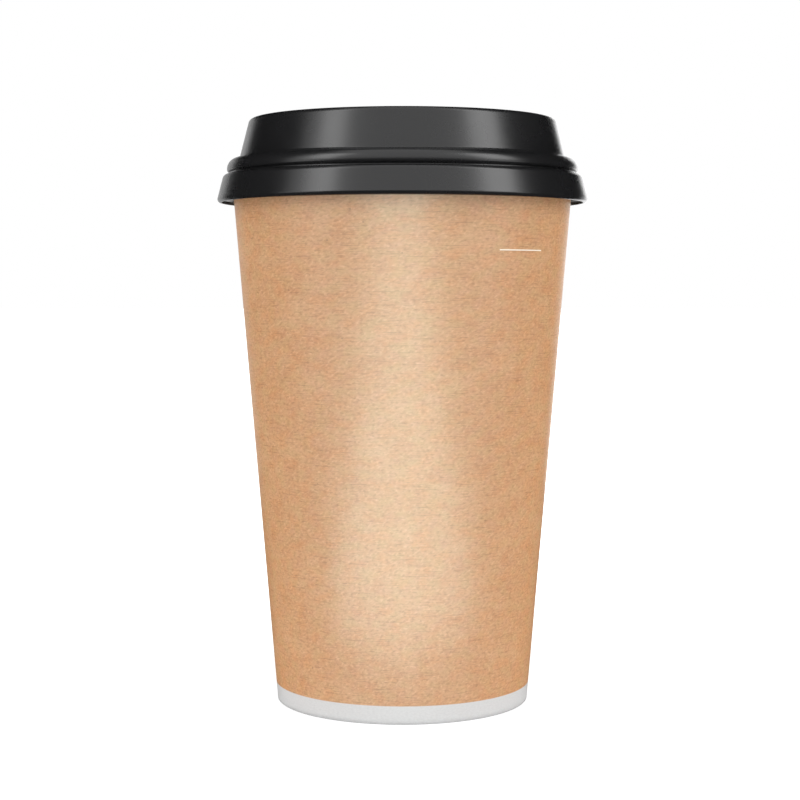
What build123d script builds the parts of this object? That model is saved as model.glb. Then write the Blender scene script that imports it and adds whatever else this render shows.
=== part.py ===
from build123d import *
from math import asin, atan2, cos, degrees, hypot, pi, radians, sin, tan
import os

# Single-wall paper hot cup with a pressed-on domed sip lid. Millimetres, +Z up.
# The cup stands on z = 0 with its axis on Z, the sip hole in front at -Y and the side seam behind.

# Cup: sizes over all
cup_height = 133.0        # table to the top of the rolled rim
rim_diameter = 90.0       # over the rolled rim, the size that lids are made for
base_diameter = 64.0      # outside of the wall where it meets the table

# Cup: paperboard and the way it is folded
board = 0.4               # thickness of both blanks
curl_diameter = 2.4       # rolled rim, outside
curl_sweep = 300.0        # degrees that the rim is rolled through
fold_radius_share = 1.1   # outside radius of the hem's fold, in board thicknesses
hem_plies = 3             # wall, base skirt and hem lie on each other in the foot
hem_height = 6.0          # folded edge, measured up from the table
floor_height = 9.0        # table to the drink side of the base disc
floor_bend = 1.2          # radius where the disc turns down into its skirt
skirt_end_gap = 0.3       # base skirt's cut edge to the inside of the fold
glue_line = 0.02          # between sealed layers

# Cup: side seam
lap_width = 7.0           # overlap of the blank's two ends
lap_ramp = 3.0            # length over which the outer ply comes down to the wall again

# Lid: sheet and fit
lid_wall = 0.4            # thickness of the formed sheet
seat_gap = 0.1            # lid's ledge above the top of the rim
rim_clearance = 0.2       # inside of the skirt to the side of the rim
draft_angle = 14.5        # degrees, skirt and dome lean alike

# Lid: skirt and ring
skirt_height = 7.0        # lower edge to the top of the shoulder
lip_width = 1.3           # lower edge turned in under the skirt
lip_round_share = 0.65    # round between skirt and lip, of the lip's width
shoulder_radius = 1.2
groove_inset = 1.35       # from the rim's side in to the bottom of the groove
groove_height = 0.5
ring_overhang = 0.65      # ring beyond the bottom of the groove
ring_height = 3.55        # top of the groove to the top of the ring
ring_width = 3.15         # ring's side to the foot of the dome
groove_round_share = 0.5  # groove corners, of the groove's height
chin_rise_share = 0.4     # slope under the ring, of its overhang
chin_round_share = 0.85   # lower round of the ring, of its overhang
ring_round_share = 0.84   # upper round of the ring, of its width
dome_foot_round = 0.55

# Lid: dome and top
dome_height = 9.85        # top of the ring to the top of the lid
dome_edge_radius = 1.3
land_width = 4.5          # flat top between the dome's edge and the recess
sip_land_width = 13.5     # the same in front, where the sip hole is
recess_depth = 6.0
recess_draft = 12.0       # degrees
recess_corner = 9.0       # plan radius where the recess turns along the sip land
recess_edge_radius = 0.9  # land into recess
recess_foot_radius = 1.0  # recess into panel
sip_length = 14.0
sip_width = 6.0
vent_diameter = 1.5
vent_offset = 24.0        # from the axis towards the back

# Cuts run past the faces that they open by this much
overrun = 1.0

rim_radius = rim_diameter / 2
base_radius = base_diameter / 2
curl_radius = curl_diameter / 2
curl_bore = curl_radius - board
fold_radius = fold_radius_share * board

# The wall's printed face leaves the foot and meets the inside of the curl as a tangent.
curl_centre = (rim_radius - curl_radius, cup_height - curl_radius)
foot_to_curl = hypot(curl_centre[0] - base_radius, curl_centre[1])
wall_tilt = atan2(curl_centre[0] - base_radius, curl_centre[1]) - asin(curl_bore / foot_to_curl)
wall_length = (foot_to_curl**2 - curl_bore**2) ** 0.5
wall_direction = (sin(wall_tilt), cos(wall_tilt))


def wall_radius(z, plies=0, joints=0):
    """Radius at height z of the printed face, or of a face some plies and glued joints further in."""
    inset = (plies * board + joints * glue_line) / cos(wall_tilt)
    return base_radius + z * tan(wall_tilt) - inset


def parallel_corners(corners, thickness):
    """Corners of the path that runs a sheet's thickness to the left of the one through the given corners."""
    steps = [(Vector(end) - Vector(start)).normalized() for start, end in zip(corners, corners[1:])]
    normals = [Vector(-step.Y, step.X) for step in steps]
    befores = [normals[0], *normals]
    afters = [*normals, normals[-1]]
    return [
        Vector(corner) + (before + after) * (thickness / (1 + before.dot(after)))
        for corner, before, after in zip(corners, befores, afters)
    ]


def parallel_radii(corners, radii, thickness):
    """Bend radii on the left face of a sheet: smaller where it turns left, larger where it turns right."""
    steps = [Vector(end) - Vector(start) for start, end in zip(corners, corners[1:])]
    turns_left = [before.cross(after).Z > 0 for before, after in zip(steps, steps[1:])]
    return [
        max(radius - thickness, 0) if turns else radius + thickness
        for radius, turns in zip(radii, turns_left)
    ]


def sheet_of_revolution(corners, radii, thickness, roll_bore=0, roll_sweep=0):
    """Turn a bent sheet about Z.

    Its outer face runs through the corners, given as radius and height, and it thickens to the left.
    With a roll, its end goes on to the right round a tube of that bore radius.
    """
    outer = list(FilletPolyline(*corners, radius=radii).edges())
    left_corners = parallel_corners(corners, thickness)
    left = list(FilletPolyline(*left_corners, radius=parallel_radii(corners, radii, thickness)).edges())
    outer_end, left_end = Vector(corners[-1]), left_corners[-1]
    if roll_bore:
        direction = outer_end - Vector(corners[-2])
        outer_roll = JernArc(outer_end, direction, roll_bore, -roll_sweep)
        left_roll = JernArc(left_end, direction, roll_bore + thickness, -roll_sweep)
        outer.append(outer_roll.edge())
        left.append(left_roll.edge())
        outer_end, left_end = outer_roll @ 1, left_roll @ 1
    ends = [Line(corners[0], left_corners[0]).edge(), Line(outer_end, left_end).edge()]
    return revolve(Plane.XZ * make_face(outer + left + ends), Axis.Z)


def seam_point(radius, along, z):
    """Point on the back of the cup, a distance along the wall from the middle of the side seam."""
    angle = pi / 2 + along / wall_radius(z)
    return (radius * cos(angle), radius * sin(angle), z)


def outer_ply(z):
    """Level slice of the blank's outer end: a full ply over the lap, then the ramp down to the wall."""
    lap_end = lap_width / 2
    ramp_end = lap_end + lap_ramp
    face = wall_radius(z)
    buried = face - board / 2
    ply = ThreePointArc(*[seam_point(face + board, along, z) for along in (-lap_end, 0, lap_end)])
    ramp = Line(ply @ 1, seam_point(face, ramp_end, z))
    root = ThreePointArc(*[seam_point(buried, along, z) for along in (ramp_end, 0, -lap_end)])
    return make_face([ply, ramp, Line(ramp @ 1, root @ 0), root, Line(root @ 1, ply @ 0)])


def inner_step(z):
    """Level slice of the space inside the ramp, beyond the cut edge of the blank's inner end."""
    lap_end = lap_width / 2
    ramp_end = lap_end + lap_ramp
    drink_face = wall_radius(z, plies=1)
    clear = drink_face - overrun
    corners = [(clear, lap_end), (wall_radius(z), lap_end), (drink_face, ramp_end), (clear, ramp_end)]
    return make_face(Polyline(*[seam_point(*corner, z) for corner in corners], close=True).edges())


def make_sidewall():
    """Fan-shaped blank: hem folded up inside, coned wall, lapped side seam and rolled rim, all one sheet."""
    hem_layers = {"plies": hem_plies, "joints": hem_plies - 1}
    wall_top = (base_radius + wall_length * wall_direction[0], wall_length * wall_direction[1])
    folded = [
        (wall_radius(hem_height, **hem_layers), hem_height),
        (wall_radius(0, **hem_layers), 0),
        (base_radius, 0),
        wall_top,
    ]
    wall = sheet_of_revolution(folded, [fold_radius, fold_radius], board, curl_bore, curl_sweep)
    seam_top = cup_height - curl_diameter - board
    lap = loft([outer_ply(fold_radius), outer_ply(seam_top)], ruled=True)
    step = loft([inner_step(floor_height), inner_step(seam_top)], ruled=True)
    return wall + lap - step


def make_base_disc():
    """Round blank pressed to a dish: flat disc with a skirt that turns down between the wall and the hem."""
    skirt_end = board + skirt_end_gap
    pressed = [
        (wall_radius(skirt_end, plies=1, joints=1), skirt_end),
        (wall_radius(floor_height, plies=1, joints=1), floor_height),
        (0, floor_height),
    ]
    return sheet_of_revolution(pressed, [floor_bend], board)


# Lid levels and radii follow the rim that the lid is pressed on.
draft = radians(draft_angle)
ledge_top = cup_height + seat_gap + lid_wall
skirt_edge = ledge_top - skirt_height
groove_top = ledge_top + groove_height
ring_top = groove_top + ring_height
lid_top = ring_top + dome_height
groove_radius = rim_radius - groove_inset
ring_radius = groove_radius + ring_overhang
dome_foot_radius = ring_radius - ring_width
dome_top_radius = dome_foot_radius - dome_height * tan(draft)


def skirt_radius(z):
    """Outer face of the skirt, which clears the side of the rim at the middle of its curl."""
    at_rim = rim_radius + rim_clearance + lid_wall / cos(draft)
    return at_rim + (curl_centre[1] - z) * tan(draft)


def recess_solid(growth, depth):
    """D-shaped well under the top of the lid, tapered, with its straight side along the sip land."""
    outline = Circle(dome_top_radius - land_width)
    front = dome_top_radius - sip_land_width
    sip_side = Pos(0, -front) * Rectangle(rim_diameter, rim_radius, align=(Align.CENTER, Align.MAX))
    outline = outline - sip_side
    outline = fillet(outline.vertices(), recess_corner)
    outline = offset(outline, growth) if growth else outline
    return extrude(Pos(0, 0, lid_top) * outline, amount=-depth, taper=recess_draft)


def make_lid():
    """Formed sheet: lip, skirt, groove, ring and dome as one profile, then the recess, sip hole and vent."""
    groove_round = groove_round_share * groove_height
    chin_round = chin_round_share * ring_overhang
    ring_round = ring_round_share * ring_width
    formed = [
        (skirt_radius(skirt_edge) - lip_width, skirt_edge),
        (skirt_radius(skirt_edge), skirt_edge),
        (skirt_radius(ledge_top), ledge_top),
        (groove_radius, ledge_top),
        (groove_radius, groove_top),
        (ring_radius, groove_top + chin_rise_share * ring_overhang),
        (ring_radius, ring_top),
        (dome_foot_radius, ring_top),
        (dome_top_radius, lid_top),
        (0, lid_top),
    ]
    skirt_rounds = [lip_round_share * lip_width, shoulder_radius]
    ring_rounds = [groove_round, groove_round, chin_round, ring_round]
    dome_rounds = [dome_foot_round, dome_edge_radius]
    lid = sheet_of_revolution(formed, skirt_rounds + ring_rounds + dome_rounds, lid_wall)
    well = recess_solid(0, recess_depth)
    well = fillet(well.faces().sort_by(Axis.Z)[0].edges(), recess_foot_radius)
    pan = recess_solid(lid_wall / cos(radians(recess_draft)), recess_depth + lid_wall)
    pan = fillet(pan.faces().sort_by(Axis.Z)[0].edges(), recess_foot_radius + lid_wall)
    lid = lid + pan - well

    lid = fillet(recess_edge(lid, -1), recess_edge_radius)
    lid = fillet(recess_edge(lid, -2), recess_edge_radius - lid_wall)
    return lid - sip_hole() - vent_hole()


def recess_edge(lid, rank):
    """Edges where the recess leaves the land, on its top with a rank of -1 or its underside with -2."""
    level_face = lid.faces().filter_by(Axis.Z).sort_by(Axis.Z)[rank]
    return level_face.inner_wires()[0].edges()


def sip_hole():
    """Slot through the middle of the sip land, curved along the rim."""
    radius = dome_top_radius - sip_land_width / 2
    sweep = degrees((sip_length - sip_width) / radius)
    middle = CenterArc((0, 0), radius, -90 - sweep / 2, sweep)
    slot = SlotArc(middle, sip_width)
    return extrude(Pos(0, 0, lid_top - lid_wall - overrun) * slot, amount=lid_wall + 2 * overrun)


def vent_hole():
    """Small round hole through the panel, towards the back, that lets air in while drinking."""
    panel_top = lid_top - recess_depth
    drill = Cylinder(vent_diameter / 2, lid_wall + 2 * overrun, align=(Align.CENTER, Align.CENTER, Align.MAX))
    return Pos(0, vent_offset, panel_top + overrun) * drill


os.makedirs("parts", exist_ok=True)
pieces = {"sidewall": make_sidewall(), "base_disc": make_base_disc(), "lid": make_lid()}
for name, piece in pieces.items():
    export_step(piece, f"parts/{name}.step")
    print(name, "volume", round(piece.volume, 1), "height", round(piece.bounding_box().max.Z, 2))
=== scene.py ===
# %% [markdown]
# # A paper cup with a domed sip lid
# A takeaway cup is three thin sheets: a fan of printed board rolled into a cone, a round of board
# pressed in as its floor, and a sheet of black plastic drawn over a mould as its lid.
# The solids come packed from the engineering model, and this lesson dresses them for the picture.
# Each sheet is drawn here once more as a section and turned about the axis, so that the glossy lid
# and the long wall get even rows of faces and smooth reflections.

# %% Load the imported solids
import math

import bmesh
import bpy
from mathutils import Matrix, Vector


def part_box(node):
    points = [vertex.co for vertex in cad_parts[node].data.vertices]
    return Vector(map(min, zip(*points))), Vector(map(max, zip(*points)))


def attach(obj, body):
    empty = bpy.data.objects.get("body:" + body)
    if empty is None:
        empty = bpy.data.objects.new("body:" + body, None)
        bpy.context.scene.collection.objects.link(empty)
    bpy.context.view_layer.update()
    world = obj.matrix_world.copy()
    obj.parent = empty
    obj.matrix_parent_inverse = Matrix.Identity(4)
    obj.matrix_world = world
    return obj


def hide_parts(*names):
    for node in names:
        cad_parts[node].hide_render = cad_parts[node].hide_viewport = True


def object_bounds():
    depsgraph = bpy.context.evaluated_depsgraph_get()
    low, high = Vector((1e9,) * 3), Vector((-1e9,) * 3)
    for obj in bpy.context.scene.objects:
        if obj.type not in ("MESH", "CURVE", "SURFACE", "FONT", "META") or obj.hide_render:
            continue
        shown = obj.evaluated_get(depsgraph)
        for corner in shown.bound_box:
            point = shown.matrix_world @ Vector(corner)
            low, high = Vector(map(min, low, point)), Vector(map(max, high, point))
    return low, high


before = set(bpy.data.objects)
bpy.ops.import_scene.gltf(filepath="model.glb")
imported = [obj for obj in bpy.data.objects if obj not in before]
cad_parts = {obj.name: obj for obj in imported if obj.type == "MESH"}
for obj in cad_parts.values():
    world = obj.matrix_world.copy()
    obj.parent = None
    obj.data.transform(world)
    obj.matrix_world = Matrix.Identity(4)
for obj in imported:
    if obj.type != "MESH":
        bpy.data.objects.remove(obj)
cad_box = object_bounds()
MM = 0.001
print("solids", sorted(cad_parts), "box", [round(side / MM, 2) for side in cad_box[1] - cad_box[0]])

# %% [markdown]
# ## Sizes
# What the solids' own boxes tell is read from them, so the pieces can't drift from the frame.
# The rest are the sizes a maker would quote for the board, the folds and the mould, in millimetres.

# %% Sizes of the cup
rim_radius = round(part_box("sidewall")[1].x / MM, 1)
cup_height = round(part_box("sidewall")[1].z / MM, 2)
floor_height = round(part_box("base_disc")[1].z / MM, 2)
skirt_end = round(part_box("base_disc")[0].z / MM, 2)
foot_radius = 32.0
board = 0.4
glue_line = 0.02
curl_radius = 1.2
curl_bore = curl_radius - board
curl_sweep = math.radians(300)
fold_radius = 1.1 * board
hem_height = 6.0
floor_bend = 1.2

curl_centre = Vector((rim_radius - curl_radius, 0, cup_height - curl_radius))
foot_to_curl = curl_centre - Vector((foot_radius, 0, 0))
wall_tilt = math.atan2(foot_to_curl.x, foot_to_curl.z) - math.asin(curl_bore / foot_to_curl.length)
wall_length = math.sqrt(foot_to_curl.length**2 - curl_bore**2)
mean_radius = (foot_radius + rim_radius) / 2


def wall_radius(z, plies=0, joints=0):
    """Radius of the printed face at height z, or of a face some plies and glued joints further in."""
    inset = (plies * board + joints * glue_line) / math.cos(wall_tilt)
    return foot_radius + z * math.tan(wall_tilt) - inset


print("wall leans", round(math.degrees(wall_tilt), 2), "degrees and is", round(wall_length, 1), "mm long")

# %% Sizes of the lid
lid_top = round(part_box("lid")[1].z / MM, 2)
skirt_edge = round(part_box("lid")[0].z / MM, 2)
lid_wall = 0.4
seat_gap = 0.1
rim_clearance = 0.2
draft = math.radians(14.5)
lip_width = 1.3
groove_height = 0.5
groove_inset = 1.35
ring_overhang = 0.65
ring_height = 3.55
ring_width = 3.15
land_width = 4.5
sip_land_width = 13.5

ledge_top = cup_height + seat_gap + lid_wall
groove_top = ledge_top + groove_height
chin_height = groove_top + 0.4 * ring_overhang
ring_top = groove_top + ring_height
groove_radius = rim_radius - groove_inset
ring_radius = groove_radius + ring_overhang
dome_foot_radius = ring_radius - ring_width
dome_radius = dome_foot_radius - (lid_top - ring_top) * math.tan(draft)


def skirt_radius(z):
    """Outside of the lid's skirt, which clears the side of the rolled rim."""
    wall_across = lid_wall / math.cos(draft)
    return rim_radius + rim_clearance + wall_across + (curl_centre.z - z) * math.tan(draft)


print("lid from", skirt_edge, "to", lid_top, "mm, dome", round(dome_radius, 2), "mm at its top")

# %% [markdown]
# ## Drawing a bent sheet
# Every sheet here is straight runs joined by bends, like a strip of metal in a folding press.
# A list of points could hold such a section, but then nobody could tell a bend from a run.
# So one vertex is the pencil: a run extrudes it to where it has to go, and a bend spins it about
# the centre of the bend. The same spin, about the cup's axis, then turns the section into a sheet.

# %% Pencil: runs and bends
BEND_STEP = math.radians(9)
ARC_STEP = 1.2
FEWEST_STEPS = 4


def run_to(bm, tip, end):
    """Draw a straight run from the tip and return the new tip."""
    made = bmesh.ops.extrude_vert_indiv(bm, verts=[tip])
    bmesh.ops.translate(bm, verts=made["verts"], vec=end - tip.co)
    return made["verts"][0]


def bend(bm, tip, centre, axis, turn):
    """Draw an arc from the tip about a centre and return the new tip."""
    arc = (tip.co - centre).length * turn / MM
    steps = max(FEWEST_STEPS, math.ceil(turn / BEND_STEP), math.ceil(arc / ARC_STEP))
    made = bmesh.ops.spin(bm, geom=[tip], cent=centre, axis=axis, angle=turn, steps=steps)
    return next(part for part in made["geom_last"] if isinstance(part, bmesh.types.BMVert))


def draw_section(bm, corners, radii):
    """Draw runs through the corners, given as radius and height in mm, with a bend at each one."""
    points = [Vector((radius * MM, 0, z * MM)) for radius, z in corners]
    tip = bm.verts.new(points[0])
    for before, corner, after, radius in zip(points, points[1:], points[2:], radii):
        arrive = (corner - before).normalized()
        leave = (after - corner).normalized()
        turn = arrive.angle(leave)
        tip = run_to(bm, tip, corner - arrive * radius * MM * math.tan(turn / 2))
        if radius:
            axis = arrive.cross(leave).normalized()
            tip = bend(bm, tip, tip.co + axis.cross(arrive) * radius * MM, axis, turn)
    return run_to(bm, tip, points[-1])


print("bends are drawn in steps of at most", round(math.degrees(BEND_STEP)), "degrees and", ARC_STEP, "mm")

# %% From section to sheet
COLUMNS = 240
WELD = 0.002 * MM
SHARP_FROM = math.radians(35)


def turn_about_axis(bm, geom, angle=2 * math.pi, steps=COLUMNS):
    """Spin a section about the cup's axis and return its last column."""
    merge = angle >= 2 * math.pi
    made = bmesh.ops.spin(bm, geom=geom, axis=(0, 0, 1), angle=angle, steps=steps, use_merge=merge)
    return made["geom_last"]


def face_outwards(bm):
    """Close seam and pole, then point the faces away from the sheet, whose lowest one looks down."""
    bmesh.ops.remove_doubles(bm, verts=bm.verts, dist=WELD)
    bmesh.ops.recalc_face_normals(bm, faces=bm.faces)
    lowest = min(bm.faces, key=lambda face: face.calc_center_median().z)
    if lowest.normal.z > 0:
        bmesh.ops.reverse_faces(bm, faces=bm.faces)


def thicken(bm, thickness):
    """Give the sheet its thickness behind its outer face. Returns its inner faces and its cut edges."""
    outer_faces = set(bm.faces)
    outer_verts = set(bm.verts)
    bmesh.ops.solidify(bm, geom=bm.faces, thickness=thickness * MM)
    made = [face for face in bm.faces if face not in outer_faces]
    cut_edges = {face for face in made if not outer_verts.isdisjoint(face.verts)}
    inner = [face for face in made if face not in cut_edges]
    return inner, cut_edges


def finish_piece(bm, name, node, body, materials):
    """Make the drawn sheet an object that stands for its solid and rides on its body."""
    mesh = bpy.data.meshes.new(name)
    bm.to_mesh(mesh)
    bm.free()
    for material in materials:
        mesh.materials.append(material)
    mesh.shade_smooth()
    mesh.set_sharp_from_angle(angle=SHARP_FROM)
    piece = bpy.data.objects.new(name, mesh)
    bpy.context.scene.collection.objects.link(piece)
    even = piece.modifiers.new("even_shading", "WEIGHTED_NORMAL")
    even.keep_sharp = True
    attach(piece, body)
    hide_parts(node)
    print(name, len(mesh.polygons), "faces")
    return piece


print("sheets get", COLUMNS, "columns and weld within", WELD / MM, "mm")

# %% [markdown]
# ## Nodes and colours
# Colours are written as sRGB hex, the way a paint chart gives them, and turned to linear light once.
# One small function adds a node with its settings and links, so each material reads as a recipe.

# %% Colour and node helpers


def srgb(code):
    """Linear colour of a #rrggbb code."""
    channels = [int(code[start:start + 2], 16) / 255 for start in (1, 3, 5)]
    linear = [c / 12.92 if c <= 0.04045 else ((c + 0.055) / 1.055) ** 2.4 for c in channels]
    return (*linear, 1)


def add_node(tree, kind, inputs, output=0, **settings):
    """Add a node and return one of its outputs. Inputs are values or other nodes' outputs."""
    node = tree.nodes.new(kind)
    for name, value in settings.items():
        setattr(node, name, value)
    for socket, value in inputs.items():
        if isinstance(value, bpy.types.NodeSocket):
            tree.links.new(value, node.inputs[socket])
        else:
            node.inputs[socket].default_value = value
    return node.outputs[output]


def new_material(name):
    """A material, with its node tree and its Principled shader."""
    material = bpy.data.materials.new(name)
    material.use_nodes = True
    return material, material.node_tree, material.node_tree.nodes["Principled BSDF"]


kraft_ground = srgb("#cd9b70")
print("kraft reads as", [round(channel, 3) for channel in kraft_ground])

# %% [markdown]
# ## Printed kraft board
# The wall is white cup board with a brown kraft print: a warm mottled ground, fine pulp grain,
# short fibres that lie along the paper machine's direction and a few dark specks.
# The print is laid on the flat blank, so the pattern is worked out on the unrolled wall:
# the angle about the axis times the mean radius gives millimetres across, and height gives
# millimetres up. The join of that map falls on the side seam at the back, as it does on a real cup.
# A thin varnish over the print mirrors softly where it is looked at square on. Looked at along the
# wall, the fibres under it shade one another and it turns matt.

# %% The unrolled blank


def unrolled_blank(tree):
    """Place on the flat blank in millimetres: as a vector, across from the front, and up."""
    place = add_node(tree, "ShaderNodeTexCoord", {}, "Object")
    x = add_node(tree, "ShaderNodeSeparateXYZ", {0: place}, "X")
    y, z = x.node.outputs["Y"], x.node.outputs["Z"]
    towards = add_node(tree, "ShaderNodeMath", {0: y, 1: -1}, operation="MULTIPLY")
    angle = add_node(tree, "ShaderNodeMath", {0: x, 1: towards}, operation="ARCTAN2")
    across = add_node(tree, "ShaderNodeMath", {0: angle, 1: mean_radius}, operation="MULTIPLY")
    up = add_node(tree, "ShaderNodeMath", {0: z, 1: 1 / MM}, operation="MULTIPLY")
    return add_node(tree, "ShaderNodeCombineXYZ", {0: across, 1: up}), across, up


def mottle(tree, blank, size, limits, strength, turn=0, detail=2):
    """Strength of a mottling with blots of size (across, up) in mm, drawn where the noise is in limits."""
    inputs = {"Vector": blank, "Rotation": (0, 0, math.radians(turn)), "Scale": (*size, 1)}
    laid = add_node(tree, "ShaderNodeMapping", inputs, vector_type="TEXTURE")
    noise = add_node(tree, "ShaderNodeTexNoise", {"Vector": laid, "Scale": 1, "Detail": detail})
    inputs = {"Value": noise, 1: limits[0], 2: limits[1], 3: 0, 4: strength}
    return add_node(tree, "ShaderNodeMapRange", inputs, interpolation_type="SMOOTHSTEP")


def printed_bar(tree, across, up, middle, size, softness=0.04):
    """Mask of a printed bar, from its middle, its size and the softness of its edge in mm on the blank."""
    mask = 1
    for place, centre, length in zip((across, up), middle, size):
        away = add_node(tree, "ShaderNodeMath", {0: place, 1: centre}, operation="SUBTRACT")
        away = add_node(tree, "ShaderNodeMath", {0: away}, operation="ABSOLUTE")
        inputs = {"Value": away, 1: length / 2 - softness, 2: length / 2 + softness, 3: 1, 4: 0}
        inside = add_node(tree, "ShaderNodeMapRange", inputs, interpolation_type="SMOOTHSTEP")
        mask = add_node(tree, "ShaderNodeMath", {0: inside, 1: mask}, operation="MULTIPLY")
    return mask


print("unrolled, the wall is", round(2 * math.pi * mean_radius), "mm across at half its height")

# %% Printed kraft board
print_edge = 4.65
print_edge_softness = 0.06
fill_line_height = 114.1
fill_line_from = math.radians(33.5) * mean_radius
fill_line_to = math.radians(53.5) * mean_radius
fill_line_width = 0.26
speck_spacing = 2.8
speck_reach = 0.09
speck_chance = 0.4
speck_strength = 0.4

# How much the varnish mirrors, where bare plastic has 0.5, when it is seen square on and along the wall.
# It fades between two turns away from the eye, counted from 0 square on to 1 along the wall.
varnish_square_on = 1.0
varnish_along = 0.1
varnish_fades = (0.15, 0.65)
varnish_roughness = (0.36, 0.42)

# Tint, size of the blots in mm, noise limits, strength, turn in degrees and detail of each layer.
# Real fibres are finer than a tenth of a millimetre and are drawn as coarse as they have to be to show.
kraft_layers = [
    ("#d6ab82", (16, 10), (0.40, 0.70), 0.45, 0, 2),
    ("#c58c62", (7, 4.4), (0.46, 0.74), 0.50, 15, 1),
    ("#d89662", (5.0, 3.0), (0.42, 0.72), 0.30, 10, 0),
    ("#c4a774", (4.4, 2.6), (0.42, 0.72), 0.27, -10, 0),
    ("#ce9a7a", (3.2, 2.0), (0.46, 0.74), 0.26, 40, 0),
    ("#98693e", (1.1, 0.6), (0.42, 0.76), 0.42, 0, 3),
    ("#f2c69a", (1.0, 0.55), (0.46, 0.80), 0.42, 30, 3),
    ("#82542b", (3.0, 0.34), (0.58, 0.74), 0.32, 3, 2),
    ("#f4cca2", (2.4, 0.34), (0.60, 0.75), 0.32, -5, 2),
    ("#86572f", (9, 0.28), (0.60, 0.72), 0.28, 0, 1),
]


def printed_kraft_board():
    """Varnished print on white cup board: brown ground with paper fibres, white where it stops."""
    material, tree, shader = new_material("kraft_print_on_cup_board")
    blank, across, up = unrolled_blank(tree)
    colour = kraft_ground
    for tint, size, limits, strength, turn, detail in kraft_layers:
        share = mottle(tree, blank, size, limits, strength, turn, detail)
        colour = add_node(tree, "ShaderNodeMix", {0: share, 6: colour, 7: srgb(tint)}, 2, data_type="RGBA")

    inputs = {"Vector": blank, "Scale": 1 / speck_spacing}
    distance = add_node(tree, "ShaderNodeTexVoronoi", inputs, "Distance")
    chance = add_node(tree, "ShaderNodeSeparateColor", {0: distance.node.outputs["Color"]})
    inputs = {"Value": chance, 1: 1 - speck_chance, 3: 0, 4: speck_reach}
    reach = add_node(tree, "ShaderNodeMapRange", inputs)
    speck = add_node(tree, "ShaderNodeMath", {0: distance, 1: reach}, operation="LESS_THAN")
    speck = add_node(tree, "ShaderNodeMath", {0: speck, 1: speck_strength}, operation="MULTIPLY")
    inputs = {0: speck, 6: colour, 7: srgb("#85593a")}
    colour = add_node(tree, "ShaderNodeMix", inputs, 2, data_type="RGBA")

    middle = ((fill_line_from + fill_line_to) / 2, fill_line_height)
    line = printed_bar(tree, across, up, middle, (fill_line_to - fill_line_from, fill_line_width))
    inputs = {0: line, 6: colour, 7: srgb("#fdf3e2")}
    colour = add_node(tree, "ShaderNodeMix", inputs, 2, data_type="RGBA")

    grain = mottle(tree, blank, (0.8, 0.4), (0.25, 0.75), 1, 0, 3)
    inputs = {0: grain, 6: srgb("#cccccc"), 7: srgb("#d4d4d4")}
    bare_board = add_node(tree, "ShaderNodeMix", inputs, 2, data_type="RGBA")
    inputs = {"Value": up, 1: print_edge - print_edge_softness, 2: print_edge + print_edge_softness}
    printed = add_node(tree, "ShaderNodeMapRange", inputs)
    inputs = {0: printed, 6: bare_board, 7: colour}
    colour = add_node(tree, "ShaderNodeMix", inputs, 2, data_type="RGBA")
    tree.links.new(colour, shader.inputs["Base Color"])

    inputs = {"Value": grain, 3: varnish_roughness[0], 4: varnish_roughness[1]}
    tree.links.new(add_node(tree, "ShaderNodeMapRange", inputs), shader.inputs["Roughness"])
    turned_away = add_node(tree, "ShaderNodeLayerWeight", {"Blend": 0.5}, "Facing")
    begins, ends = varnish_fades
    inputs = {"Value": turned_away, 1: begins, 2: ends, 3: varnish_square_on, 4: varnish_along}
    tree.links.new(add_node(tree, "ShaderNodeMapRange", inputs), shader.inputs["Specular IOR Level"])
    relief = {"Strength": 0.2, "Distance": 0.03 * MM, "Height": grain}
    tree.links.new(add_node(tree, "ShaderNodeBump", relief), shader.inputs["Normal"])
    print(material.name, len(tree.nodes), "nodes")
    return material


kraft_print = printed_kraft_board()

# %% [markdown]
# ## White cup board
# Inside, the same board is bare white under a thin drinks-proof coating, so it is smoother and has
# a slight sheen. Its cut edges are raw paper core, a little creamier and quite matt.

# %% White board and its cut edge


def coated_white_board():
    """White board with a drinks-proof coating: a clean white with a faint cloud and a soft sheen."""
    material, tree, shader = new_material("coated_white_cup_board")
    place = add_node(tree, "ShaderNodeTexCoord", {}, "Object")
    clouds = add_node(tree, "ShaderNodeTexNoise", {"Vector": place, "Scale": 1 / (4 * MM), "Detail": 3})
    inputs = {0: clouds, 6: srgb("#e2e2e0"), 7: srgb("#ebebe9")}
    tone = add_node(tree, "ShaderNodeMix", inputs, 2, data_type="RGBA")
    tree.links.new(tone, shader.inputs["Base Color"])
    rough = add_node(tree, "ShaderNodeMapRange", {"Value": clouds, 1: 0.3, 2: 0.7, 3: 0.34, 4: 0.42})
    tree.links.new(rough, shader.inputs["Roughness"])
    pulp = add_node(tree, "ShaderNodeTexNoise", {"Vector": place, "Scale": 1 / (0.6 * MM), "Detail": 2})
    relief = {"Strength": 0.1, "Distance": 0.02 * MM, "Height": pulp}
    tree.links.new(add_node(tree, "ShaderNodeBump", relief), shader.inputs["Normal"])
    return material


def cut_board_edge():
    """Raw edge of the board where the die cut it: creamy, matt and fibrous."""
    material, tree, shader = new_material("cut_edge_of_board")
    place = add_node(tree, "ShaderNodeTexCoord", {}, "Object")
    fibres = add_node(tree, "ShaderNodeTexNoise", {"Vector": place, "Scale": 1 / (0.3 * MM), "Detail": 3})
    inputs = {0: fibres, 6: srgb("#d9d2c6"), 7: srgb("#efe9df")}
    tone = add_node(tree, "ShaderNodeMix", inputs, 2, data_type="RGBA")
    tree.links.new(tone, shader.inputs["Base Color"])
    shader.inputs["Roughness"].default_value = 0.8
    return material


white_board = coated_white_board()
board_edge = cut_board_edge()
print("made", white_board.name, "and", board_edge.name)

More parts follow.
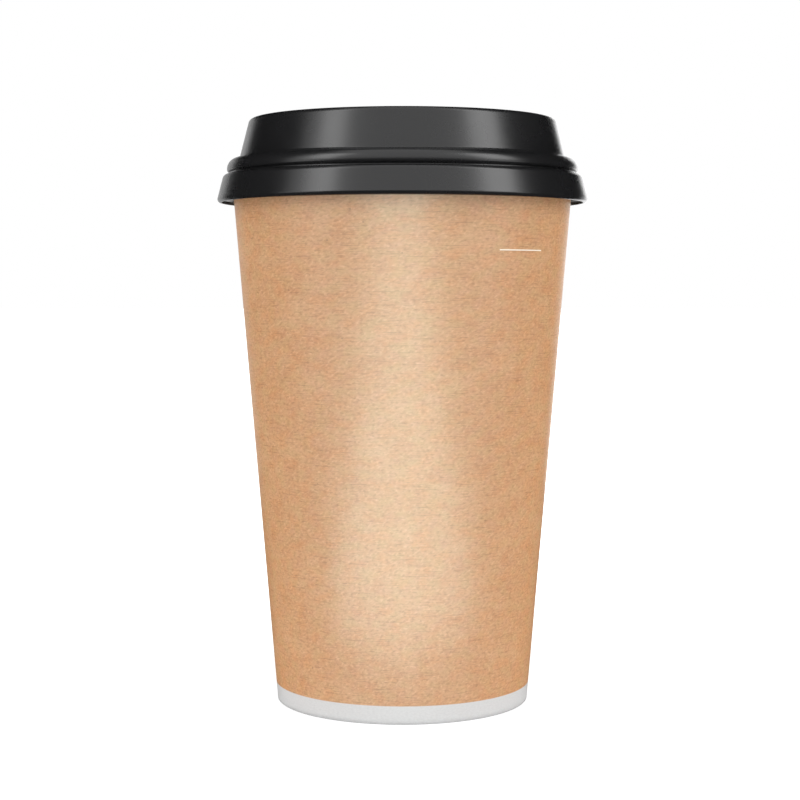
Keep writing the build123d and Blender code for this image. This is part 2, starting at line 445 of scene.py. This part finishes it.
# %% [markdown]
# ## Sidewall
# The blank is rolled into a cone with its ends lapped and sealed at the back. Its foot is folded up
# inside over the floor's skirt, and its top is rolled outwards, which shows the white inside face.
# Turning one section all the way round would lose the seam, so the turn is made in three spins:
# over the lap, over the short ramp beside it, and round the rest of the cup.

# %% Draw and turn the sidewall
lap_width = 7.0
lap_ramp = 3.0
lap_end = lap_width / 2
ramp_end = lap_end + lap_ramp
seam_rise = 0.2
seam_low = fold_radius + seam_rise / 2
seam_high = cup_height - 2 * curl_radius - board
seam_levels = [seam_low, seam_low + seam_rise, floor_height, floor_height + seam_rise]
seam_levels += [seam_high - seam_rise, seam_high]
LAP_COLUMNS = 6
RAMP_COLUMNS = 4

hem_top = (wall_radius(hem_height, 3, 2), hem_height)
foot_inner = (wall_radius(0, 3, 2), 0)
foot_outer = (foot_radius, 0)
wall_levels = [(wall_radius(z), z) for z in seam_levels]
rising = Vector((math.sin(wall_tilt), 0, math.cos(wall_tilt)))
outwards = Vector((rising.z, 0, -rising.x))
wall_top = (foot_radius + wall_length * rising.x, wall_length * rising.z)

bm = bmesh.new()
section = [hem_top, foot_inner, foot_outer, *wall_levels, wall_top]
tip = draw_section(bm, section, [fold_radius, fold_radius, *[0] * len(wall_levels)])
bend(bm, tip, tip.co + outwards * curl_bore * MM, rising.cross(outwards), curl_sweep)

lap_angle = lap_width / mean_radius
ramp_angle = lap_ramp / mean_radius
to_lap = Matrix.Rotation((math.pi - lap_angle) / 2, 3, "Z")
bmesh.ops.rotate(bm, verts=bm.verts, matrix=to_lap)
column = turn_about_axis(bm, bm.verts[:] + bm.edges[:], lap_angle, LAP_COLUMNS)
column = turn_about_axis(bm, column, ramp_angle, RAMP_COLUMNS)
turn_about_axis(bm, column, 2 * math.pi - lap_angle - ramp_angle, COLUMNS)
face_outwards(bm)
inner_faces, edge_faces = thicken(bm, board)
for face in inner_faces:
    face.material_index = 1
for face in edge_faces:
    face.material_index = 2
print("sidewall sheet", len(bm.faces), "faces")

# %% [markdown]
# ### Lapped seam
# At the lap the outer end of the blank lies on the inner end, one board thickness proud, and comes
# down to the wall again along the ramp. Inside, the inner end stops at the other side of the lap.
# Both are steps, so the mesh is split along those two columns, one side of each is moved out by a
# ply, and the gap is bridged. The bridge is the cut edge of the board.

# %% Raise the seam
ON_COLUMN = 0.01


def along_seam(place):
    """Distance round the wall from the middle of the seam, in mm at the mean radius."""
    return math.atan2(-place.x, place.y) * mean_radius


def split_column(bm, distance):
    """Split the sheet along the column at a distance from the middle of the seam."""
    on_column = {vert for vert in bm.verts if abs(along_seam(vert.co) - distance) < ON_COLUMN}
    bmesh.ops.split_edges(bm, edges=[edge for edge in bm.edges if on_column.issuperset(edge.verts)])


def ply_rise(vert, outer):
    """Share of a ply by which the seam moves a vertex out, on the side that its faces are on."""
    faces = [along_seam(face.calc_center_median()) for face in vert.link_faces]
    distance = along_seam(vert.co)
    distance += math.copysign(ON_COLUMN / 10, sum(faces) / len(faces) - distance)
    if not -lap_end < distance < ramp_end:
        return 0
    if distance < lap_end:
        return 1 if outer else 0
    return (ramp_end - distance) / lap_ramp


split_column(bm, -lap_end)
split_column(bm, lap_end)
outer_from, outer_to = seam_low + seam_rise / 2, seam_high - seam_rise / 2
inner_from = floor_height + seam_rise / 2
rises = []
for vert in bm.verts:
    radius, height = vert.co.xy.length / MM, vert.co.z / MM
    outer = abs(radius - wall_radius(height)) < board / 4 and outer_from < height < outer_to
    inner = abs(radius - wall_radius(height, 1)) < board / 4 and inner_from < height < seam_high
    if outer or inner:
        rises.append((vert, ply_rise(vert, outer)))
for vert, rise in rises:
    vert.co.xy += vert.co.xy.normalized() * rise * board * MM

open_edges = [edge for edge in bm.edges if edge.is_boundary]
for distance in (-lap_end, lap_end):
    step = [edge for edge in open_edges if abs(along_seam(edge.verts[0].co) - distance) < ON_COLUMN]
    for face in bmesh.ops.bridge_loops(bm, edges=step)["faces"]:
        face.material_index = 2
bmesh.ops.remove_doubles(bm, verts=bm.verts, dist=WELD)
print("seam", sum(rise > 0 for vert, rise in rises), "raised vertices,", len(open_edges), "edges bridged")
print("edges still open", sum(edge.is_boundary for edge in bm.edges))

# %% [markdown]
# The three spins make the lap a wedge, wider at the rim than at the foot. A sealing bar is straight,
# so each vertex is turned a little about the axis until the lap is equally wide all the way up.

# %% Make the lap parallel and finish the sidewall


def lap_turn(place):
    """Turn about the axis that gives the lap straight, parallel sides."""
    angle = along_seam(place) / mean_radius
    half = ramp_end / mean_radius
    wanted = ramp_end / wall_radius(place.z / MM)
    if abs(angle) <= half:
        return angle * (wanted / half - 1)
    return math.copysign((wanted - half) * (math.pi - abs(angle)) / (math.pi - half), angle)


for vert in bm.verts:
    vert.co.rotate(Matrix.Rotation(lap_turn(vert.co), 3, "Z"))
sidewall_materials = [kraft_print, white_board, board_edge]
sidewall = finish_piece(bm, "rolled_sidewall", "sidewall", "cup", sidewall_materials)

# %% [markdown]
# ## Floor of the cup
# The floor is a round of the same board, pressed to a shallow dish whose skirt turns down between
# the wall and the folded hem. It is one run up the skirt, one bend and one run to the axis.

# %% Floor of the cup
bm = bmesh.new()
dish = [(wall_radius(z, 1, 1), z) for z in (skirt_end, floor_height)]
draw_section(bm, [*dish, (0, floor_height)], [floor_bend])
turn_about_axis(bm, bm.verts[:] + bm.edges[:])
face_outwards(bm)
for face in thicken(bm, board)[1]:
    face.material_index = 1
finish_piece(bm, "pressed_floor", "base_disc", "cup", [white_board, board_edge])

# %% [markdown]
# ## Black lid plastic
# The lid is polystyrene sheet, drawn hot over a mould. The side that met the mould is satin rather
# than mirror-bright, so lamps show in it as soft patches, and the sheet keeps a very faint waviness.

# %% Black lid plastic


def black_formed_plastic():
    """Thermoformed polystyrene: near black, satin, with a faint orange peel from the hot sheet."""
    material, tree, shader = new_material("black_thermoformed_polystyrene")
    place = add_node(tree, "ShaderNodeTexCoord", {}, "Object")
    haze = add_node(tree, "ShaderNodeTexNoise", {"Vector": place, "Scale": 1 / (12 * MM), "Detail": 4})
    inputs = {0: haze, 6: srgb("#1a1a1b"), 7: srgb("#1e1e1f")}
    tone = add_node(tree, "ShaderNodeMix", inputs, 2, data_type="RGBA")
    tree.links.new(tone, shader.inputs["Base Color"])
    rough = add_node(tree, "ShaderNodeMapRange", {"Value": haze, 1: 0.3, 2: 0.7, 3: 0.24, 4: 0.29})
    tree.links.new(rough, shader.inputs["Roughness"])
    shader.inputs["IOR"].default_value = 1.59
    peel = add_node(tree, "ShaderNodeTexNoise", {"Vector": place, "Scale": 1 / (2.5 * MM), "Detail": 1})
    relief = {"Strength": 0.1, "Distance": 0.02 * MM, "Height": peel}
    tree.links.new(add_node(tree, "ShaderNodeBump", relief), shader.inputs["Normal"])
    print(material.name, len(tree.nodes), "nodes")
    return material


lid_plastic = black_formed_plastic()

# %% [markdown]
# ## Lid
# The section runs from the turned-in lip up the skirt, over the shoulder that sits on the cup's rim,
# into a narrow groove, round the bead and up the dome to its flat top. Turned about the axis it gives
# everything but the top, which isn't round: it has a D-shaped well and a sip hole.

# %% Turn the lid's skirt and dome
lip_round = 0.65 * lip_width
shoulder_round = 1.2
groove_round = 0.5 * groove_height
chin_round = 0.85 * ring_overhang
ring_round = 0.84 * ring_width
dome_foot_round = 0.55
dome_edge_round = 1.3
lid_bends = [
    ((skirt_radius(skirt_edge), skirt_edge), lip_round),
    ((skirt_radius(ledge_top), ledge_top), shoulder_round),
    ((groove_radius, ledge_top), groove_round),
    ((groove_radius, groove_top), groove_round),
    ((ring_radius, chin_height), chin_round),
    ((ring_radius, ring_top), ring_round),
    ((dome_foot_radius, ring_top), dome_foot_round),
    ((dome_radius, lid_top), dome_edge_round),
]
lip_end = (skirt_radius(skirt_edge) - lip_width, skirt_edge)
land_start = (dome_radius - land_width / 2, lid_top)

bm = bmesh.new()
lid_corners = [corner for corner, radius in lid_bends]
draw_section(bm, [lip_end, *lid_corners, land_start], [radius for corner, radius in lid_bends])
turn_about_axis(bm, bm.verts[:] + bm.edges[:])
bmesh.ops.remove_doubles(bm, verts=bm.verts, dist=WELD)
top = lid_top * MM
top_edges = [edge for edge in bm.edges if edge.is_boundary and edge.verts[0].co.z > top - WELD]
print("lid turned,", len(bm.faces), "faces, open top of", len(top_edges), "edges")

# %% [markdown]
# ### Flat top
# The outline of the well and the sip hole are drawn with the same pencil, this time lying flat.
# Filling between the three loops leaves both openings free, and because the land is level it
# doesn't matter how the fill divides it.

# %% Draw the well's outline and the sip hole
UP = Vector((0, 0, 1))
well_depth = 6.0
well_edge = 0.9
well_foot = 1.0
well_draft = math.radians(12)
well_corner_round = 9.0
sip_length = 14.0
sip_half_width = 3.0

well_turn = math.pi / 2 - well_draft
well_grow = well_edge * math.tan(well_turn / 2)
well_radius = dome_radius - land_width + well_grow
well_front = dome_radius - sip_land_width + well_grow
well_corner = well_corner_round + well_grow
sip_radius = dome_radius - sip_land_width / 2
sip_sweep = (sip_length - 2 * sip_half_width) / sip_radius


def flat(x, y):
    """Point on the lid's flat top, from millimetres."""
    return Vector((x * MM, y * MM, top))


def draw_well(bm):
    """D with its straight side in front and a round corner at each end of it."""
    across = math.sqrt((well_radius - well_corner) ** 2 - (well_front - well_corner) ** 2)
    corner_turn = math.atan2(across, well_front - well_corner)
    corner_y = well_corner - well_front
    tip = run_to(bm, bm.verts.new(flat(-across, -well_front)), flat(across, -well_front))
    tip = bend(bm, tip, flat(across, corner_y), UP, corner_turn)
    tip = bend(bm, tip, flat(0, 0), UP, 2 * (math.pi - corner_turn))
    bend(bm, tip, flat(-across, corner_y), UP, corner_turn)


def draw_sip_hole(bm):
    """Slot with round ends, curved along the lid's edge."""
    end_x, end_y = math.sin(sip_sweep / 2), -math.cos(sip_sweep / 2)
    start = (sip_radius + sip_half_width) * Vector((-end_x, end_y))
    tip = bend(bm, bm.verts.new(flat(*start)), flat(0, 0), UP, sip_sweep)
    tip = bend(bm, tip, flat(sip_radius * end_x, sip_radius * end_y), UP, math.pi)
    tip = bend(bm, tip, flat(0, 0), -UP, sip_sweep)
    bend(bm, tip, flat(-sip_radius * end_x, sip_radius * end_y), UP, math.pi)


def drawn_loop(bm, draw):
    """Draw a loop, close it, and return its edges."""
    before = set(bm.edges)
    draw(bm)
    bmesh.ops.remove_doubles(bm, verts=[vert for vert in bm.verts if vert.is_wire], dist=WELD)
    return [edge for edge in bm.edges if edge not in before]


well_edges = drawn_loop(bm, draw_well)
sip_edges = drawn_loop(bm, draw_sip_hole)
bmesh.ops.triangle_fill(bm, edges=top_edges + well_edges + sip_edges, use_beauty=True, normal=UP)
print("land filled between", len(well_edges), "edges of the well and", len(sip_edges), "of the sip hole")

# %% [markdown]
# ### Well and vent
# The well is pressed down from its outline. Each inset moves the outline in and down by a small
# step: first round the edge, then down the drafted wall, then round the foot to the level panel.
# A pin-sized vent at the back lets air in while someone drinks.

# %% Press the well and pierce the vent
vent_radius = 0.75
vent_offset = 24.0
vent_place = Vector((0, vent_offset, lid_top - well_depth)) * MM
ROUND_STEPS = 6


def well_rings():
    """How far in and down from the outline each ring of the well is, in mm."""
    turns = [well_turn * step / ROUND_STEPS for step in range(ROUND_STEPS + 1)]
    edge = [(well_edge * math.sin(turn), well_edge * (1 - math.cos(turn))) for turn in turns]
    wall_drop = well_depth - (well_edge + well_foot) * (1 - math.cos(well_turn))
    foot_in = edge[-1][0] + wall_drop / math.tan(well_turn)
    foot_down = edge[-1][1] + wall_drop
    foot = [
        (
            foot_in + well_foot * (math.sin(well_turn) - math.sin(turn)),
            foot_down + well_foot * (math.cos(turn) - math.cos(well_turn)),
        )
        for turn in reversed(turns)
    ]
    return edge + foot


panel = bmesh.ops.contextual_create(bm, geom=well_edges)["faces"][0]
panel.normal_update()
if panel.normal.z < 0:
    panel.normal_flip()
rings = well_rings()
for (start_in, start_down), (end_in, end_down) in zip(rings, rings[1:]):
    step = {"thickness": (end_in - start_in) * MM, "depth": (start_down - end_down) * MM}
    bmesh.ops.inset_region(bm, faces=[panel], use_boundary=True, use_even_offset=True, **step)
panel_edges = panel.edges[:]
bmesh.ops.delete(bm, geom=[panel], context="FACES_ONLY")
at_vent = Matrix.Translation(vent_place)
vent = bmesh.ops.create_circle(bm, radius=vent_radius * MM, segments=24, matrix=at_vent)["verts"]
vent_edges = {edge for vert in vent for edge in vert.link_edges}
bmesh.ops.triangle_fill(bm, edges=panel_edges + list(vent_edges), use_beauty=True, normal=UP)
face_outwards(bm)
thicken(bm, lid_wall)
finish_piece(bm, "formed_lid", "lid", "lid", [lid_plastic])

# %% [markdown]
# ## Floor and background
# The studio is a plain white sweep. A floor lit only by the lamps would fade to grey with distance,
# so it also glows for the rays that the camera and the glossy lid send, more so further out, while
# near the cup it stays a lit surface that keeps the cup's soft shadow.
# The background is the world: white to the camera and to reflections, and a dim fill for the rest.

# %% Floor and background


def seen_directly(tree):
    """1 for camera, glossy and transmission rays, 0 for the rays that only carry diffuse light."""
    seen = add_node(tree, "ShaderNodeLightPath", {}, "Is Camera Ray")
    rays = seen.node.outputs
    for other in ("Is Glossy Ray", "Is Transmission Ray"):
        seen = add_node(tree, "ShaderNodeMath", {0: seen, 1: rays[other]}, operation="MAXIMUM")
    return seen


def white_sweep(shadow_reach=0.05, white_from=0.22, shadow_glow=0.45):
    """Matt white floor: lit within the shadow's reach, glowing white further out, both in metres."""
    material, tree, shader = new_material("matt_white_sweep")
    place = add_node(tree, "ShaderNodeTexCoord", {}, "Object")
    far = add_node(tree, "ShaderNodeVectorMath", {0: place}, "Value", operation="LENGTH")
    inputs = {"Value": far, 1: shadow_reach, 2: white_from, 3: shadow_glow, 4: 1.0}
    glow = add_node(tree, "ShaderNodeMapRange", inputs, interpolation_type="SMOOTHSTEP")
    glow = add_node(tree, "ShaderNodeMath", {0: glow, 1: seen_directly(tree)}, operation="MULTIPLY")
    shader.inputs["Base Color"].default_value = srgb("#f0f0f0")
    shader.inputs["Roughness"].default_value = 0.9
    shader.inputs["Specular IOR Level"].default_value = 0.0
    shader.inputs["Emission Color"].default_value = srgb("#ffffff")
    tree.links.new(glow, shader.inputs["Emission Strength"])
    return material


sweep_radius = 8
bm = bmesh.new()
bmesh.ops.create_circle(bm, cap_ends=True, radius=sweep_radius, segments=96)
sweep_mesh = bpy.data.meshes.new("sweep")
bm.to_mesh(sweep_mesh)
bm.free()
sweep_mesh.materials.append(white_sweep())
sweep = bpy.data.objects.new("sweep", sweep_mesh)
bpy.context.scene.collection.objects.link(sweep)

FILL_LEVEL = 0.74
world = bpy.data.worlds.new("white_studio")
world.use_nodes = True
sky = world.node_tree
inputs = {"Value": seen_directly(sky), 3: FILL_LEVEL, 4: 1.0}
sky_level = add_node(sky, "ShaderNodeMapRange", inputs)
sky.links.new(sky_level, sky.nodes["Background"].inputs["Strength"])
sky.nodes["Background"].inputs["Color"].default_value = srgb("#ffffff")
bpy.context.scene.world = world
print("floor of", round(sweep.dimensions.x, 1), "m and a fill of", FILL_LEVEL)

# %% [markdown]
# ## Lamps
# Two tall softboxes stand left and right in front of the cup, and the black lid mirrors them as two
# soft upright patches. Weak boxes far round to the left and straight ahead even out the wall, and a
# lamp flat on the table stands for the light that a bright table throws back up at the foot.
# These last three are hidden from reflections, because only their light is wanted.

# %% Softboxes
middle = (cad_box[0] + cad_box[1]) / 2


def from_front(azimuth, elevation, distance):
    """Place round the cup: azimuth from the front to the right and elevation in degrees, metres away."""
    turn, rise = math.radians(azimuth), math.radians(elevation)
    away = Vector((math.sin(turn) * math.cos(rise), -math.cos(turn) * math.cos(rise), math.sin(rise)))
    return middle + away * distance


def softbox(name, place, size, watts, target=middle):
    """Rectangular soft lamp that looks at a target."""
    lamp = bpy.data.lights.new(name, "AREA")
    lamp.shape = "RECTANGLE"
    lamp.size, lamp.size_y = size
    lamp.energy = watts
    light = bpy.data.objects.new(name, lamp)
    light.location = place
    light.rotation_euler = (target - place).to_track_quat("-Z", "Y").to_euler()
    light.visible_camera = False
    bpy.context.scene.collection.objects.link(light)
    print(name, [round(x, 2) for x in place], round(watts, 2), "W")
    return light


# Azimuth and elevation in degrees and distance in metres, then width, height and watts.
softbox("left_softbox", from_front(-53, 34, 0.9), (0.26, 0.62), 1.5)
softbox("right_softbox", from_front(63, 34, 0.9), (0.33, 0.62), 2.0)
side_lamp = softbox("side_softbox", from_front(-80, 5, 0.9), (0.7, 0.4), 0.3)
front_lamp = softbox("front_softbox", from_front(0, 25, 0.9), (0.4, 0.3), 0.6)
table_place = Vector((0, 0, 0.5 * MM))
table_lamp = softbox("table_bounce", table_place, (0.32, 0.32), 0.13, table_place + UP)
for lamp in (side_lamp, front_lamp, table_lamp):
    lamp.visible_glossy = False

# %% [markdown]
# ### Pale band on the wall
# The varnish over the print mirrors a strip of light that slopes down towards the foot, in front of
# the cup and under the lens, and that is the pale band down the wall. One strip would give it hard
# sides, so three of growing width lie on each other. They are a cool daylight blue, which turns the
# band cream on the brown print, where white light would turn it pink. Gloss alone carries the band,
# so their diffuse light is off, and light linking keeps them out of the lid's turned-in lip.

# %% Low strips of light
strip_place = Vector((0, -0.243, 0.0635))
strip_facing = Vector((0, 0.32, 0.95))
strip_length = 0.37
strip_widths = (0.05, 0.11, 0.19)
strip_brightness = 3.5
strip_tint = srgb("#d0f9ff")[:3]
varnished = bpy.data.collections.new("varnished_paper")
varnished.objects.link(sidewall)
for width in strip_widths:
    watts = strip_brightness * math.pi * width * strip_length
    strip = softbox("low_strip", strip_place, (width, strip_length), watts, strip_place + strip_facing)
    strip.data.color = strip_tint
    strip.visible_diffuse = False
    strip.light_linking.receiver_collection = varnished

# %% [markdown]
# ### Cards for the lid
# A glossy black lid looks like whatever it mirrors, and in a bare white studio it would turn grey.
# So cards stand round it, as a photographer sets them up: black ones beside, before, behind and
# under it make the dark bands between the lamps, and two bright ones far round the back draw the
# light edges. The cards are there for reflections alone and cast no shadow.

# %% Studio cards


def studio_card(name, place, target, size, brightness=0.0):
    """Card that looks at a target and that only reflections see, black or as bright as it is told."""
    bm = bmesh.new()
    facing = (place - target).to_track_quat("Z", "Y").to_matrix().to_4x4()
    bmesh.ops.create_grid(bm, x_segments=1, y_segments=1, size=0.5)
    bmesh.ops.scale(bm, vec=(*size, 1), verts=bm.verts)
    bmesh.ops.transform(bm, matrix=Matrix.Translation(place) @ facing, verts=bm.verts)
    mesh = bpy.data.meshes.new(name)
    bm.to_mesh(mesh)
    bm.free()
    material, tree, shader = new_material(name + "_felt")
    shader.inputs["Base Color"].default_value = srgb("#000000")
    shader.inputs["Specular IOR Level"].default_value = 0.0
    shader.inputs["Emission Color"].default_value = srgb("#ffffff")
    shader.inputs["Emission Strength"].default_value = brightness
    mesh.materials.append(material)
    card = bpy.data.objects.new(name, mesh)
    card.visible_camera = False
    card.visible_diffuse = False
    card.visible_shadow = False
    bpy.context.scene.collection.objects.link(card)
    return card


# Azimuth from the front in degrees, distance and size in metres, and brightness.
upright_cards = {
    "left_card": (-106, 0.32, (0.4, 0.9), 0.0),
    "right_card": (109, 0.32, (0.4, 0.9), 0.0),
    "left_back_card": (-163, 0.42, (0.32, 0.26), 0.85),
    "right_back_card": (165, 0.42, (0.22, 0.26), 2.4),
    "front_card": (0, 0.8, (1.8, 0.29), 0.0),
}
for name, (azimuth, distance, size, brightness) in upright_cards.items():
    place = from_front(azimuth, 0, distance)
    place.z = size[1] / 2
    studio_card(name, place, Vector((0, 0, place.z)), size, brightness)
studio_card("top_card", from_front(180, 45, 0.7), middle, (1.1, 1.0))
on_floor = Vector((0, 0, 0.3 * MM))
studio_card("floor_card", on_floor, on_floor - UP, (2.4, 2.4))
print(len(upright_cards), "upright cards, one above and one on the floor")

# %% [markdown]
# ## Camera
# The picture was taken from just above the middle of the cup with a long lens: the lid's top is
# seen edge-on and the foot curves gently. The lens follows from the focal length in pixels.

# %% Camera
picture_width = 800
focal_pixels = 1831.3
lens_place = Vector((-0.6, -467.3, 105.65)) * MM
looking_down = math.radians(3.573)
camera_data = bpy.data.cameras.new("camera")
camera_data.sensor_width = 36
camera_data.lens = focal_pixels / picture_width * camera_data.sensor_width
camera = bpy.data.objects.new("camera", camera_data)
camera.location = lens_place
camera.rotation_euler = (math.pi / 2 - looking_down, 0, 0)
camera_data.clip_start = 0.01
bpy.context.scene.collection.objects.link(camera)
bpy.context.scene.camera = camera
bpy.context.scene.view_settings.view_transform = "Standard"
print("lens", round(camera_data.lens, 1), "mm")

# %% [markdown]
# ## Finish
# The dressed cup has to stay inside the box of the solids.

# %% Finish
bpy.context.view_layer.update()
